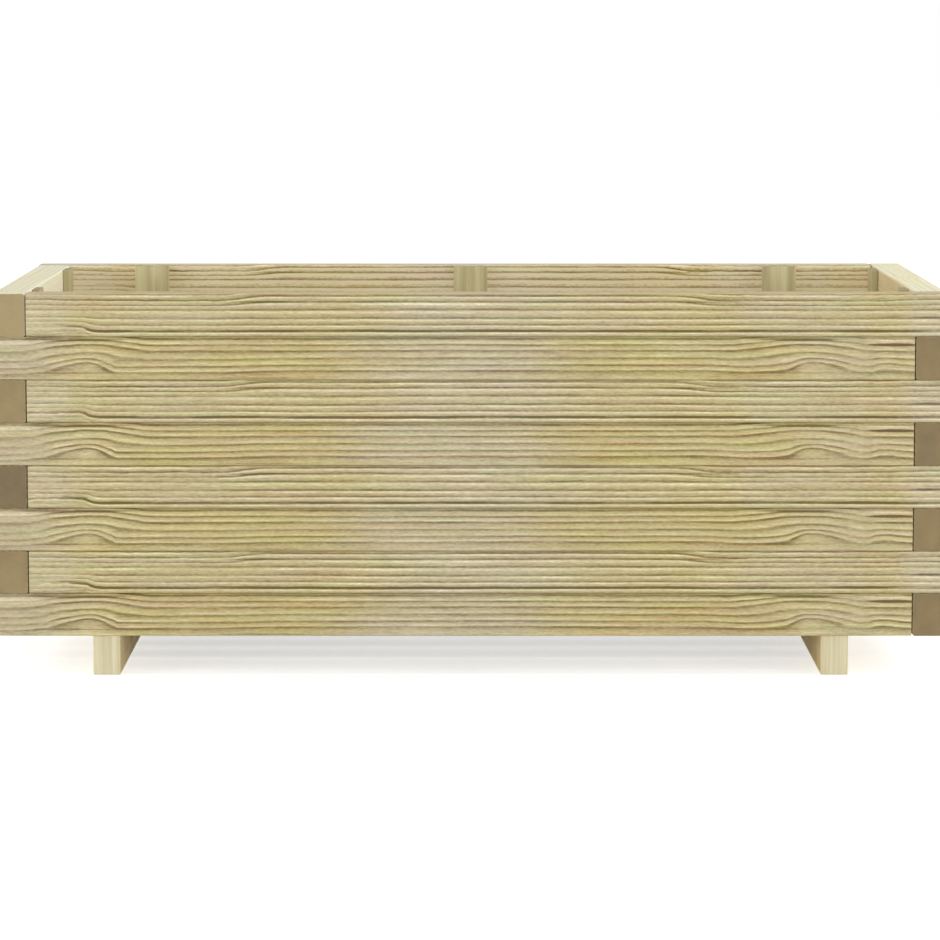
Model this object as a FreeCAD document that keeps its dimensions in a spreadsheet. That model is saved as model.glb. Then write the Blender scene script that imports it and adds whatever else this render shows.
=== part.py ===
"""Rectangular floor planter of stacked softwood boards.

Each wall is a panel of boards held together by upright battens on its inside. At a corner the boards of
two walls take turns to run through, so the panels interlock. The two long panels are alike, and so are the
two short ones: each is the other turned half round. Two runners carry the walls and a slatted floor.

Frame: origin at the centre of the footprint, on the ground. X runs to the right, Y to the back, Z up.
"""
import FreeCAD, Part
import math
import os
import re

import Sketcher

# Driving dimensions in millimetres.
SIZES = {
    "length": 1000,             # outside, left to right
    "depth": 500,               # outside, front to back
    "board_high": 45,
    "board_thick": 36,
    "board_round": 2.5,         # radius planed along the long edges
    "joint_gap": 1,             # left between a board's end and the face that it meets
    "runner_high": 42,
    "runner_wide": 28.5,
    "runner_inset": 117.3,      # from the outer end of the planter to the middle of the runner
    "runner_setback": 5,        # from the outer face of the wall to the end of the runner
    "batten_wide": 39,
    "batten_thick": 8,
    "batten_bevel": 1,
    "batten_short": 1,          # the batten stops this far inside the wall's top and bottom
    "near_inset": 96,           # long wall: inner corner to the middle of the outer batten at its start
    "far_inset": 107.6,         # long wall: inner corner to the middle of the outer batten at its end
    "side_inset": 56.6,         # side wall: inner corner to the middle of each batten
    "slat_thick": 18,
    "slat_bevel": 1.5,
    "drain_gap": 9,             # between two floor slats
    "floor_gap": 2,             # around the floor, inside the battens
    "brad_long": 22,
    "brad_wide": 2,
    "brad_thin": 1.6,
    "brad_point": 2.5,          # length of the chisel point
    "brad_rise": 11,            # height of the brad above the lower edge of its board
    "floor_brad_long": 40,
    "screw_long": 70,           # from the surface of the wood to the tip
    "screw_round": 2.5,         # radius of the shank
    "head_round": 5,            # radius of the head
    "head_high": 3,
    "head_sink": 1,             # the head lies this far below the surface
    "fit_slack": 0.1,           # between a fastener and the wood around it
}

# Counts.
COUNTS = {
    "tiers": 8,                 # boards stacked in each wall
    "slats": 6,                 # boards in the floor
}

# Sizes that follow from the driving ones.
FOLLOWS = {
    "shoulder": "board_thick + joint_gap",
    "wall_high": "tiers * board_high",
    "long_reach": "depth / 2 - board_thick",
    "side_reach": "length / 2 - board_thick",
    "runner_place": "length / 2 - runner_inset",
    "runner_long": "depth - 2 * runner_setback",
    "floor_long": "length - 2 * (board_thick + batten_thick + floor_gap)",
    "floor_wide": "depth - 2 * (board_thick + batten_thick + floor_gap)",
    "slat_wide": "(floor_wide - (slats - 1) * drain_gap) / slats",
    "slat_step": "slat_wide + drain_gap",
    "head_deep": "head_sink + head_high",
}

doc = FreeCAD.newDocument("planter")
sheet = doc.addObject("Spreadsheet::Sheet", "Sizes")
for row, (name, value) in enumerate([*SIZES.items(), *COUNTS.items()], start=1):
    sheet.set(f"A{row}", name)
    sheet.set(f"B{row}", str(value))
    sheet.setAlias(f"B{row}", name)
doc.recompute()

TIERS = COUNTS["tiers"]
SLATS = COUNTS["slats"]
# Corner screws hold the two lowest and the two highest tiers.
SCREWED_TIERS = {1, 2, TIERS - 1, TIERS}
# A screw and its bore are drawn with this many flats.
SCREW_FLATS = 8

# Each wall: its length, the reach to its inner face, and x and y on the planter of a point u along the wall
# and v out from the middle.
WALLS = {
    "back": ("length", "long_reach", "{u}", "{v}"),
    "right": ("depth", "side_reach", "{v}", "-({u})"),
    "front": ("length", "long_reach", "-({u})", "-({v})"),
    "left": ("depth", "side_reach", "-({v})", "{u}"),
}
# Turn of each wall about Z.
TURN_DEGREES = {"back": 0, "right": -90, "front": 180, "left": 90}

# Middle of each batten, measured along its wall from the wall's own middle.
LONG_BATTENS = ["near_inset - side_reach", "0", "side_reach - far_inset"]
SIDE_BATTENS = ["side_inset - long_reach", "long_reach - side_inset"]
BATTENS = {
    "back": list(zip(("left", "middle", "right"), LONG_BATTENS)),
    "front": list(zip(("right", "middle", "left"), LONG_BATTENS)),
    "right": list(zip(("back", "front"), SIDE_BATTENS)),
    "left": list(zip(("front", "back"), SIDE_BATTENS)),
}

# Middle of each runner, measured from the end of a floor slat.
RUNNERS_ON_SLAT = ["floor_long / 2 - runner_place", "floor_long / 2 + runner_place"]

# How the long edges of a bar are eased: the feature and its size.
ROUNDED = ("PartDesign::Fillet", "Radius")
BEVELLED = ("PartDesign::Chamfer", "Size")

parts = []
cuts = []


def sized(formula):
    """Write a formula in the sheet's own names."""
    def swap(found):
        word = found.group(0)
        if word in FOLLOWS:
            return f"({sized(FOLLOWS[word])})"
        return f"Sizes.{word}"
    return re.sub(r"[a-z_]+", swap, formula)


def number(formula):
    """The value of a formula now."""
    return float(sheet.evalExpression(sized(formula)))


def bind(thing, name, formula):
    """Tie a property of an object to the sheet."""
    thing.setExpression(name, sized(formula))


def place(thing, x, y, z, turn=0):
    """Turn an object about Z and put its own origin at a point of the planter."""
    thing.Placement = FreeCAD.Placement(FreeCAD.Vector(), FreeCAD.Rotation(FreeCAD.Vector(0, 0, 1), turn))
    for axis, formula in zip("xyz", (x, y, z)):
        bind(thing, f"Placement.Base.{axis}", formula)


def place_on_wall(thing, wall, u, v, z):
    """Put an object on a wall: u along it from its middle, v out from the middle of the planter."""
    _, _, x, y = WALLS[wall]
    place(thing, x.format(u=u, v=v), y.format(u=u, v=v), z, TURN_DEGREES[wall])


def new_body(label):
    """Start a sub-part."""
    body = doc.addObject("PartDesign::Body", label)
    body.Label = label
    body.AllowCompound = True
    parts.append(body)
    return body


def origin_feature(body, role):
    """One of the planes or axes of a body's own origin."""
    return next(item for item in body.Origin.OriginFeatures if item.Role == role)


def new_sketch(body, role, offset=("0", "0", "0"), turn=FreeCAD.Rotation()):
    """Start a sketch on one of the body's own planes, moved and turned on it."""
    sketch = body.newObject("Sketcher::SketchObject", f"{body.Label}_sketch")
    sketch.AttachmentSupport = [(origin_feature(body, role), "")]
    sketch.MapMode = "FlatFace"
    sketch.AttachmentOffset = FreeCAD.Placement(FreeCAD.Vector(), turn)
    for axis, formula in zip("xyz", offset):
        bind(sketch, f"AttachmentOffset.Base.{axis}", formula)
    return sketch


def draw_outline(sketch, points):
    """Draw a closed outline whose corners are formulas, each from zero upwards."""
    origin, start, end = (-1, 1), 1, 2
    axes = {"DistanceX": -2, "DistanceY": -1}
    first = sketch.GeometryCount
    spots = [FreeCAD.Vector(number(x), number(y), 0) for x, y in points]
    for spot, following in zip(spots, spots[1:] + spots[:1]):
        sketch.addGeometry(Part.LineSegment(spot, following))
    for index, corner in enumerate(points):
        line = first + index
        following = first + (index + 1) % len(points)
        sketch.addConstraint(Sketcher.Constraint("Coincident", line, end, following, start))
        for kind, formula in zip(axes, corner):
            if number(formula) == 0:
                sketch.addConstraint(Sketcher.Constraint("PointOnObject", line, start, axes[kind]))
                continue
            tie = Sketcher.Constraint(kind, *origin, line, start, number(formula))
            bind(sketch, f"Constraints[{sketch.addConstraint(tie)}]", formula)


def rectangle(left, low, wide, high):
    """Corners of a rectangle from its lower left one."""
    right = f"{left} + {wide}"
    top = f"{low} + {high}"
    return [(left, low), (right, low), (right, top), (left, top)]


def add_bar(label, role, wide, high, long, eased, easing):
    """A planed bar: a rectangle padded square to its plane, with its long edges eased."""
    body = new_body(label)
    section = new_sketch(body, role)
    draw_outline(section, rectangle("0", "0", wide, high))
    pad = body.newObject("PartDesign::Pad", f"{label}_pad")
    pad.Profile = section
    bind(pad, "Length", long)
    doc.recompute()
    along = section.Placement.Rotation.multVec(FreeCAD.Vector(0, 0, 1))
    arrises = []
    for index, edge in enumerate(pad.Shape.Edges, start=1):
        reach = edge.Vertexes[-1].Point - edge.Vertexes[0].Point
        if reach.cross(along).Length <= edge.Tolerance:
            arrises.append(f"Edge{index}")
    feature, size = eased
    arris = body.newObject(feature, f"{label}_arrises")
    arris.Base = (pad, arrises)
    bind(arris, size, easing)
    return body


def cut_sockets(body, role, outlines, deep, off="0", outward=False):
    """Cut sockets into a bar from a plane that lies off its origin, against or along the plane's normal."""
    base = body.Tip
    sketch = new_sketch(body, role, ("0", "0", off))
    for points in outlines:
        draw_outline(sketch, points)
    pocket = body.newObject("PartDesign::Pocket", f"{body.Label}_sockets")
    pocket.Profile = sketch
    pocket.Reversed = outward
    bind(pocket, "Length", deep)
    cuts.append((base, pocket))
    return pocket


def brad_socket(x, y, wide="brad_wide", high="brad_thin"):
    """Outline of the hole that a brad fills, around its middle."""
    room = "2 * fit_slack"
    return rectangle(f"{x} - {wide} / 2 - fit_slack", f"{y} - {high} / 2 - fit_slack",
                     f"{wide} + {room}", f"{high} + {room}")


def screw_section(x, y, radius):
    """Section of a screw or of its bore, around its middle."""
    corners = []
    for index in range(SCREW_FLATS):
        angle = 2 * math.pi * (index + 1 / 2) / SCREW_FLATS
        x_share, y_share = math.cos(angle), math.sin(angle)
        corners.append((f"{x} + {x_share:.6f} * ({radius})", f"{y} + {y_share:.6f} * ({radius})"))
    return corners


def drill_for_screws(body, role, spots, gone="0", off="0", outward=False):
    """Bore a bar for screws that have already gone some way when they reach it."""
    bores = [screw_section(x, y, "screw_round + fit_slack") for x, y in spots]
    cut_sockets(body, role, bores, f"screw_long + fit_slack - ({gone})", off, outward)


def sink_heads(body, role, spots, off="0", outward=False):
    """Counterbore a bar for the heads of screws."""
    sinks = [screw_section(x, y, "head_round + fit_slack") for x, y in spots]
    cut_sockets(body, role, sinks, "head_deep + fit_slack", off, outward)


def add_screws(label, role, spots):
    """A group of screws driven along the normal of a plane through the body's origin."""
    body = new_body(label)
    stretches = (
        ("head_round", "head_sink", "head_high"),
        ("screw_round", "head_deep", "screw_long - head_deep"),
    )
    for radius, off, long in stretches:
        sketch = new_sketch(body, role, ("0", "0", off))
        for x, y in spots:
            draw_outline(sketch, screw_section(x, y, radius))
        pad = body.newObject("PartDesign::Pad", f"{label}_{radius}")
        pad.Profile = sketch
        bind(pad, "Length", long)
    return body


def tier_low(tier):
    """Height of the lower edge of a tier of boards."""
    return f"runner_high + {tier - 1} * board_high"


def board_shift(tier):
    """How far a board's start lies inside the end of its wall: tiers take turns."""
    if tier % 2 == 0:
        return "0"
    return "shoulder"


def add_board(wall, tier):
    """One board of a wall, with the sockets of its brads and the bores of its screws."""
    run, reach, _, _ = WALLS[wall]
    shift = board_shift(tier)
    long = f"{run} - shoulder"
    body = add_bar(f"{wall}_board_{tier}", "YZ_Plane", "board_thick", "board_high", long,
                   ROUNDED, "board_round")
    place_on_wall(body, wall, f"{shift} - {run} / 2", reach, tier_low(tier))
    sockets = [brad_socket(f"{run} / 2 + {at} - {shift}", "brad_rise") for _, at in BATTENS[wall]]
    cut_sockets(body, "XZ_Plane", sockets, "brad_long - batten_thick + fit_slack")
    even = tier % 2 == 0
    if tier in SCREWED_TIERS and run == "depth":
        corner = "board_thick / 2" if even else f"{long} - board_thick / 2"
        spot = [(corner, "board_high / 2")]
        sink_heads(body, "XZ_Plane", spot, "0 - board_thick", outward=True)
        drill_for_screws(body, "XZ_Plane", spot, off="0 - board_thick", outward=True)
    if tier in SCREWED_TIERS and run == "length":
        spot = [("board_thick / 2", "board_high / 2")]
        drill_for_screws(body, "YZ_Plane", spot, "shoulder", long if even else "0", outward=not even)
    if tier == 1 and run == "length":
        spots = [(f"{x} - {shift}", "board_thick / 2") for x in ("runner_inset", "length - runner_inset")]
        drill_for_screws(body, "XY_Plane", spots, "runner_high", outward=True)


def add_batten(wall, side, at):
    """An upright batten on the inside of a wall, with a hole for a brad into each board."""
    _, reach, _, _ = WALLS[wall]
    long = "wall_high - 2 * batten_short"
    body = add_bar(f"{wall}_batten_{side}", "XY_Plane", "batten_wide", "batten_thick", long,
                   BEVELLED, "batten_bevel")
    place_on_wall(body, wall, f"{at} - batten_wide / 2", f"{reach} - batten_thick",
                  "runner_high + batten_short")
    base = body.Tip
    lowest = brad_socket("batten_wide / 2", "brad_rise - batten_short")
    hole = cut_sockets(body, "XZ_Plane", [lowest], "batten_thick")
    holes = body.newObject("PartDesign::LinearPattern", f"{body.Label}_holes")
    holes.Originals = [hole]
    holes.Direction = (hole.Profile[0], ["V_Axis"])
    bind(holes, "Length", "(tiers - 1) * board_high")
    bind(holes, "Occurrences", "tiers")
    body.Tip = holes
    cuts.append((base, holes))


def brad_outline(x, long):
    """Outline of a brad driven up the sketch's Y: a flat bar with a chisel point."""
    half = "brad_wide / 2"
    neck = f"{long} - brad_point"
    return [(f"{x} - {half}", "0"), (f"{x} + {half}", "0"), (f"{x} + {half}", neck), (x, long),
            (f"{x} - {half}", neck)]


def repeat_brads(body, sketch, role, step, count):
    """Pad a row of brads and repeat it along one of the body's own axes."""
    row = body.newObject("PartDesign::Pad", f"{body.Label}_row")
    row.Profile = sketch
    bind(row, "Length", "brad_thin")
    rows = body.newObject("PartDesign::LinearPattern", f"{body.Label}_rows")
    rows.Originals = [row]
    rows.Direction = (origin_feature(body, role), [""])
    bind(rows, "Length", f"({count} - 1) * {step}")
    bind(rows, "Occurrences", count)
    body.Tip = rows


def add_wall_brads(wall):
    """The brads of one wall: a row across its battens, repeated on every tier."""
    run, reach, _, _ = WALLS[wall]
    body = new_body(f"{wall}_brads")
    place_on_wall(body, wall, f"0 - {run} / 2", f"{reach} - batten_thick", "runner_high")
    sketch = new_sketch(body, "XY_Plane", ("0", "0", "brad_rise - brad_thin / 2"))
    for _, at in BATTENS[wall]:
        draw_outline(sketch, brad_outline(f"{run} / 2 + {at}", "brad_long"))
    repeat_brads(body, sketch, "Z_Axis", "board_high", "tiers")


def add_floor_brads():
    """The brads of the floor: one down into each runner, repeated on every slat."""
    body = new_body("floor_brads")
    place(body, "floor_long / 2", "0 - floor_wide / 2", "runner_high + slat_thick")
    upside_down = FreeCAD.Rotation(FreeCAD.Vector(0, 0, 1), 180)
    sketch = new_sketch(body, "XZ_Plane", ("0", "0", "0 - slat_wide / 2 - brad_thin / 2"), upside_down)
    for x in RUNNERS_ON_SLAT:
        draw_outline(sketch, brad_outline(x, "floor_brad_long"))
    repeat_brads(body, sketch, "Y_Axis", "slat_step", "slats")


def add_corner_screws(side, x, y, turn):
    """Screws through the side boards into the ends of the long boards, from one side of the planter."""
    spots = []
    for tier in sorted(SCREWED_TIERS):
        corner = "board_thick / 2" if tier % 2 == 0 else "depth - board_thick / 2"
        spots.append((corner, f"{tier_low(tier)} + board_high / 2"))
    body = add_screws(f"{side}_corner_screws", "YZ_Plane", spots)
    place(body, x, y, "0", turn)


def add_runner(side, sign):
    """A runner across the underside, with sockets for the floor's brads and two screw bores."""
    body = add_bar(f"{side}_runner", "YZ_Plane", "runner_wide", "runner_high", "runner_long",
                   ROUNDED, "board_round")
    place(body, f"{sign} * runner_place + runner_wide / 2", "runner_setback - depth / 2", "0", 90)
    floor_front = "(runner_long - floor_wide) / 2"
    spots = [f"{floor_front} + {index} * slat_step + slat_wide / 2" for index in range(SLATS)]
    sockets = [brad_socket(x, "runner_wide / 2", "brad_thin", "brad_wide") for x in spots]
    cut_sockets(body, "XY_Plane", sockets, "floor_brad_long - slat_thick + fit_slack", "runner_high")
    end = "board_thick / 2 - runner_setback"
    screws = [(x, "runner_wide / 2") for x in (end, f"runner_long - ({end})")]
    sink_heads(body, "XY_Plane", screws, outward=True)
    drill_for_screws(body, "XY_Plane", screws, outward=True)


def add_slat(index):
    """A floor slat lying on both runners, with a hole for a brad over each."""
    body = add_bar(f"floor_slat_{index + 1}", "YZ_Plane", "slat_wide", "slat_thick", "floor_long",
                   BEVELLED, "slat_bevel")
    place(body, "0 - floor_long / 2", f"{index} * slat_step - floor_wide / 2", "runner_high")
    holes = [brad_socket(x, "slat_wide / 2") for x in RUNNERS_ON_SLAT]
    cut_sockets(body, "XY_Plane", holes, "slat_thick", "slat_thick")


def add_runner_screws():
    """Screws driven up through both runners into the lowest front and back boards."""
    across = ("runner_inset", "length - runner_inset")
    rows = ("board_thick / 2", "depth - board_thick / 2")
    body = add_screws("runner_screws", "XY_Plane", [(x, y) for x in across for y in rows])
    place(body, "0 - length / 2", "0 - depth / 2", "0")


for wall in WALLS:
    for tier in range(1, TIERS + 1):
        add_board(wall, tier)
    for side, at in BATTENS[wall]:
        add_batten(wall, side, at)
    add_wall_brads(wall)
add_runner("left", "-1")
add_runner("right", "1")
for index in range(SLATS):
    add_slat(index)
add_floor_brads()
add_corner_screws("left", "0 - length / 2", "0 - depth / 2", 0)
add_corner_screws("right", "length / 2", "depth / 2", 180)
add_runner_screws()
doc.recompute()

for item in doc.Objects:
    if {"Invalid", "Error"} & set(item.State):
        raise RuntimeError(f"{item.Label} failed: {item.State}")
for before, after in cuts:
    if after.Shape.Volume >= before.Shape.Volume:
        raise RuntimeError(f"{after.Label} cuts nothing")
for body in parts:
    if body.Shape.isNull() or not body.Shape.isValid():
        raise RuntimeError(f"{body.Label} has no valid shape")

os.makedirs("parts", exist_ok=True)
for body in parts:
    body.Shape.exportStep(f"parts/{body.Label}.step")
print(f"{len(parts)} sub-parts, {sum(len(body.Shape.Solids) for body in parts)} solids")
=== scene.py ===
# %% [markdown]
# # Dressing a wooden planter
# The planter is a long open box. Its walls are stacks of planed pine boards whose ends take turns to run
# through at the corners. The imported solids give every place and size. This lesson gives them the look of
# pressure-treated pine: eased ends, growth rings, brown end grain and zinc-plated screws.

import math

import bpy
import numpy as np
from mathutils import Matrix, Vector


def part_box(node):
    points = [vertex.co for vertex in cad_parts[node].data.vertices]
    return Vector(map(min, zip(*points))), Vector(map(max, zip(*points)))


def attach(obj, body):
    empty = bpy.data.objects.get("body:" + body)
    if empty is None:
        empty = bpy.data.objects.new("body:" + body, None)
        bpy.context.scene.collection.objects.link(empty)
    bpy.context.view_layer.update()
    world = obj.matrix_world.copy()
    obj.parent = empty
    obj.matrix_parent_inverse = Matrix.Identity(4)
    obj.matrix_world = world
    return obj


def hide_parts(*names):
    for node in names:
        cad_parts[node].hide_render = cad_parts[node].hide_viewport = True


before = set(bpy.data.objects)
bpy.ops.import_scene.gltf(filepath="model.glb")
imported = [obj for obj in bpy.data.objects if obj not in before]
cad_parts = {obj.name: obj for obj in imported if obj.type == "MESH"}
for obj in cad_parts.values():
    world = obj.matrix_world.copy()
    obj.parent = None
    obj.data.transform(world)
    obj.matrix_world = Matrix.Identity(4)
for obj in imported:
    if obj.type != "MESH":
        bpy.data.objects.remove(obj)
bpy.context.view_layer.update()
MM = 0.001

# %% [markdown]
# ## The camera
# The picture was taken from in front, a little above the rim, from far away: the rim's sides hardly
# converge. A long lens some four metres away gives that. The camera tips down a few degrees rather than
# shifting its lens, so that the other views stay centred.

# %% Camera
CAMERA_PLACE = (-0.0006, -4.3237, 0.694)
CAMERA_TIP = 6.67       # degrees below level
LENS, SENSOR = 150.32, 36

bpy.ops.object.camera_add(location=CAMERA_PLACE, rotation=(math.radians(90 - CAMERA_TIP), 0, 0))
camera = bpy.context.object
camera.name = "camera"
camera.data.sensor_width = SENSOR
camera.data.lens = LENS
bpy.context.scene.camera = camera
bpy.context.scene.view_settings.view_transform = "Standard"
print("camera:", CAMERA_PLACE, "lens:", LENS, "mm")

# %% [markdown]
# ## Colours and nodes
# Colours are written as they look on a screen, in sRGB hex, and one function makes them linear for the
# shaders. One more function adds a node with its settings, its ramp and its links, so that a material
# reads from top to bottom like a recipe. Nodes could be wired by hand in the shader editor, but then the
# recipe could not be read or changed in a script. A third function makes an empty material.

# %% Helpers for materials
def linear(hex_colour):
    """An sRGB hex colour as the linear colour that a shader socket takes."""
    channels = [int(hex_colour[i:i + 2], 16) / 255 for i in (0, 2, 4)]
    return (*[c / 12.92 if c <= 0.04045 else ((c + 0.055) / 1.055) ** 2.4 for c in channels], 1)


def add_node(tree, kind, inputs=(), out=0, stops=(), **settings):
    """Add a node and return one of its outputs, if it has any.

    A socket among the inputs is linked, a value is set. Stops are the colours of a ramp or the points of a curve.
    """
    node = tree.nodes.new("ShaderNode" + kind)
    if stops and kind == "ValToRGB":
        ramp = node.color_ramp.elements
        ramp.remove(ramp[1])
        for index, (place, colour) in enumerate(stops):
            stop = ramp.new(place) if index else ramp[0]
            stop.position = place
            stop.color = linear(colour)
    elif stops:
        node.mapping.use_clip = False
        curve = node.mapping.curves[0].points
        curve[0].location, curve[-1].location = stops[0], stops[-1]
        for place, value in stops[1:-1]:
            curve.new(place, value)
        for point in curve:
            point.handle_type = "AUTO_CLAMPED"
        node.mapping.update()
    for name, value in settings.items():
        setattr(node, name, value)
    for name, value in dict(inputs).items():
        if isinstance(value, bpy.types.NodeSocket):
            tree.links.new(value, node.inputs[name])
        else:
            node.inputs[name].default_value = value
    return node.outputs[out] if node.outputs else None


def new_material(name):
    """An empty material and its node tree."""
    material = bpy.data.materials.new(name)
    material.use_nodes = True
    material.node_tree.nodes.clear()
    return material, material.node_tree


print("white is", [round(c, 3) for c in linear("ffffff")])

# %% [markdown]
# ## The surroundings
# The object stands in even white surroundings, as in a catalogue picture. A painted backdrop could give the white,
# but it would catch shadows. So the world itself is white to the camera and to reflections, and gives the planter
# only a soft part of its light.

# %% World
world = bpy.data.worlds.new("white_surroundings")
bpy.context.scene.world = world
world.use_nodes = True
tree = world.node_tree
tree.nodes.clear()
path = tree.nodes.new("ShaderNodeLightPath")
AMBIENT = 0.38    # how strongly the white world lights the planter
seen = path.outputs["Is Camera Ray"]
for ray in ("Is Glossy Ray", "Is Transmission Ray"):
    seen = add_node(tree, "Math", {0: seen, 1: path.outputs[ray]}, operation="MAXIMUM")
strength = add_node(tree, "MapRange", {"Value": seen, "To Min": AMBIENT, "To Max": 1.0})
shine = add_node(tree, "Background", {"Color": linear("ffffff"), "Strength": strength})
add_node(tree, "OutputWorld", {"Surface": shine})
print("surroundings:", AMBIENT, "on the planter, white to the eye")

# %% [markdown]
# ## The floor
# A matt pale floor takes the planter's soft shadow. Lamps bright enough to make it white would bleach the planter
# as well, so the floor also glows a little, for the camera only, and more so away from the planter. Seen from below
# it is clear, so that the underside can be looked at. It lies a hair below the runners and is clear to rays from
# them too, because a runner that stands on it would be black underneath.

# %% Floor
FLOOR_WIDE, FLOOR_LOW = 40, -0.2 * MM
GLOW_FROM, GLOW_TO = (0.6, 0.6), (2.4, 1.0)    # metres from the middle, and the glow there
TOUCHING = 1 * MM    # rays shorter than this come from a piece that stands on the floor
bpy.ops.object.select_all(action="DESELECT")
bpy.ops.mesh.primitive_plane_add(size=FLOOR_WIDE, location=(0, 0, FLOOR_LOW))
floor = bpy.context.object
floor.name = "floor"
material, tree = new_material("pale studio floor")
path = tree.nodes.new("ShaderNodeLightPath")
surface = tree.nodes.new("ShaderNodeNewGeometry")
spot = add_node(tree, "TexCoord", out="Object")
away = add_node(tree, "VectorMath", {0: spot}, "Value", operation="LENGTH")
matt = add_node(tree, "BsdfDiffuse", {"Color": linear("f0f0ee")})
lift = add_node(tree, "MapRange", {"Value": away, "From Min": GLOW_FROM[0], "From Max": GLOW_TO[0],
                                   "To Min": GLOW_FROM[1], "To Max": GLOW_TO[1]})
lift = add_node(tree, "Math", {0: path.outputs["Is Camera Ray"], 1: lift}, operation="MULTIPLY")
lifted = add_node(tree, "Emission", {"Color": linear("ffffff"), "Strength": lift})
both = add_node(tree, "AddShader", {0: matt, 1: lifted})
clear = add_node(tree, "BsdfTransparent")
touch = add_node(tree, "Math", {0: path.outputs["Ray Length"], 1: TOUCHING}, operation="LESS_THAN")
unseen = add_node(tree, "Math", {0: surface.outputs["Backfacing"], 1: touch}, operation="MAXIMUM")
shown = add_node(tree, "MixShader", {0: unseen, 1: both, 2: clear})
add_node(tree, "OutputMaterial", {"Surface": shown})
floor.data.materials.append(material)
print("floor:", [round(side) for side in floor.dimensions[:2]], "m")

# %% [markdown]
# ## The lamps
# One strong lamp could light the planter, but it would leave its other sides dark. Several softboxes keep every side
# at a plain level: a broad one overhead lights the rim, the one on the right lights the inside of the left wall,
# others fill the left, the back and the front, and two low ones at the front corners reach into the gap below the
# long wall.

# %% Softboxes
def softbox(name, place, aim, wide, watts):
    """A square area lamp that looks at a point."""
    bpy.ops.object.light_add(type="AREA", location=place)
    lamp = bpy.context.object
    lamp.name = name
    lamp.data.shape = "SQUARE"
    lamp.data.size = wide
    lamp.data.energy = watts
    lamp.rotation_euler = (Vector(aim) - Vector(place)).to_track_quat("-Z", "Y").to_euler()


# Name, place and aim in metres, width in metres, watts.
softbox("overhead", (0.6, 0, 2.7), (-0.1, 0, 0.4), 2.2, 20)
softbox("key_right", (3.0, -0.2, 1.7), (0, 0, 0.3), 1.6, 41)
softbox("fill_left", (-3.0, -0.4, 1.5), (0, 0, 0.3), 1.6, 31)
softbox("fill_front", (0, -3.8, 1.6), (0, 0, 0.3), 1.2, 26)
softbox("fill_front_left", (-3.2, -2.3, 0.35), (0, 0, 0.1), 1.2, 44)
softbox("fill_front_right", (3.2, -2.3, 0.35), (0, 0, 0.1), 1.2, 36)
softbox("fill_back_left", (-2.7, 2.7, 0.7), (0, 0, 0.2), 1.2, 26)
softbox("fill_back_right", (2.7, 2.7, 0.7), (0, 0, 0.2), 1.2, 24)

# %% [markdown]
# ## Pressure-treated pine
# Each board is planed pine that was soaked in a preservative under pressure, which leaves it a dull greenish
# yellow. Growth rings cross its face as long lines. Seen from one line to the next, the pale early wood
# darkens slowly towards a thin brown late-wood line and then starts again at once.
#
# Two kinds of board take turns. In the straight-grained one the rings run on nearly level. In the
# flat-sawn one they bow over a lens where the saw met the curve of the trunk. A stretched noise could stand
# for the grain, but its lines would not step, bow or fade where a real board's do. So the rings' places across
# the board are listed in millimetres, and what happens to them is listed by its place along the board.

# %% Growth rings
BOARD_HIGH, BOARD_THICK = 45, 36
# Height of each late-wood line above the board's lower edge in millimetres, how dark it is, and how much paler than
# usual the wood above it is. The list goes on beyond the board, because bends bring lines in from outside. Lines
# beyond the top edge also show on the board's top and inner face, where the rings climb; there the straight board's
# darker wood is partly grain and partly painted shade on its lit top.
STRAIGHT_RINGS = [
    (-9, 0.5, 0), (-2.5, 0.55, 0), (0.4, 0.15, 0.06), (6.1, 1.3, 0.02), (12.6, 0.62, 0), (19.4, 0.7, 0),
    (28.5, 0.72, 0), (36.8, 0.8, 0), (43.0, 0.85, -0.06), (50.4, 0.8, -0.06), (54, 0.7, -0.06), (57, 0.8, 0)]
FLAT_RINGS = [
    (-10, 0.6, 0), (-3, 0.6, -0.03), (9.5, 0.75, 0), (15.5, 0.66, 0), (22.8, 0.62, -0.02), (30.6, 0.78, 0),
    (36.6, 0.7, 0), (43.2, 1.05, -0.1), (50, 0.6, 0), (57, 0.6, 0)]
# Between two lines: how far up, and the tone there. The straight board lies the other way up.
STRAIGHT_SHAPE = ((0.12, 0.44), (0.3, 0.54), (0.5, 0.62), (0.74, 0.84), (0.87, 0.66))
FLAT_SHAPE = ((0.14, 0.58), (0.30, 0.80), (0.5, 0.72), (0.70, 0.60), (0.88, 0.44))
RING_LOW, RING_HIGH = -9, 57
LINE_HALF = 0.5     # half the thickness of a strong line in millimetres
LINE_PALE = 0.6     # tone of a line too weak to see
LINE_DARK = 0.53    # how far a strong line lies below that


def share_of(value, low, high):
    """Where a value lies between two others: 0 at the lower one and 1 at the higher."""
    return (value - low) / (high - low)


def ring_tones(rings, shape):
    """Tones across a board from its lower edge up: 1 is the palest early wood and 0 the darkest line."""
    tones = []
    for (low, dark, pale), (high, next_dark, _) in zip(rings, rings[1:]):
        line = LINE_PALE - LINE_DARK * dark
        bottom, top = low + LINE_HALF * dark ** 2, high - LINE_HALF * next_dark ** 2
        tones += [(low, line), (bottom, line)]
        tones += [(bottom + (top - bottom) * up, tone + pale) for up, tone in shape]
        tones.append((top, LINE_PALE - LINE_DARK * next_dark))
    return [(share_of(up, RING_LOW, RING_HIGH), tone) for up, tone in tones if RING_LOW <= up <= RING_HIGH]


print("straight:", len(STRAIGHT_RINGS), "rings, flat:", len(FLAT_RINGS), "rings")

# %% [markdown]
# ## Bends of the rings
# A trunk is not a straight tube, so its rings step, dip and bow where the saw cuts them. Drawing each line as a curve
# would be tedious. Instead the height at which a point looks up its ring is moved: by each bend, whose strength
# follows one curve along the board and another up it, and by gentle noise.

# %% Bends of the rings
PLANK_HALF = 500    # half the planter's length in millimetres
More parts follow.
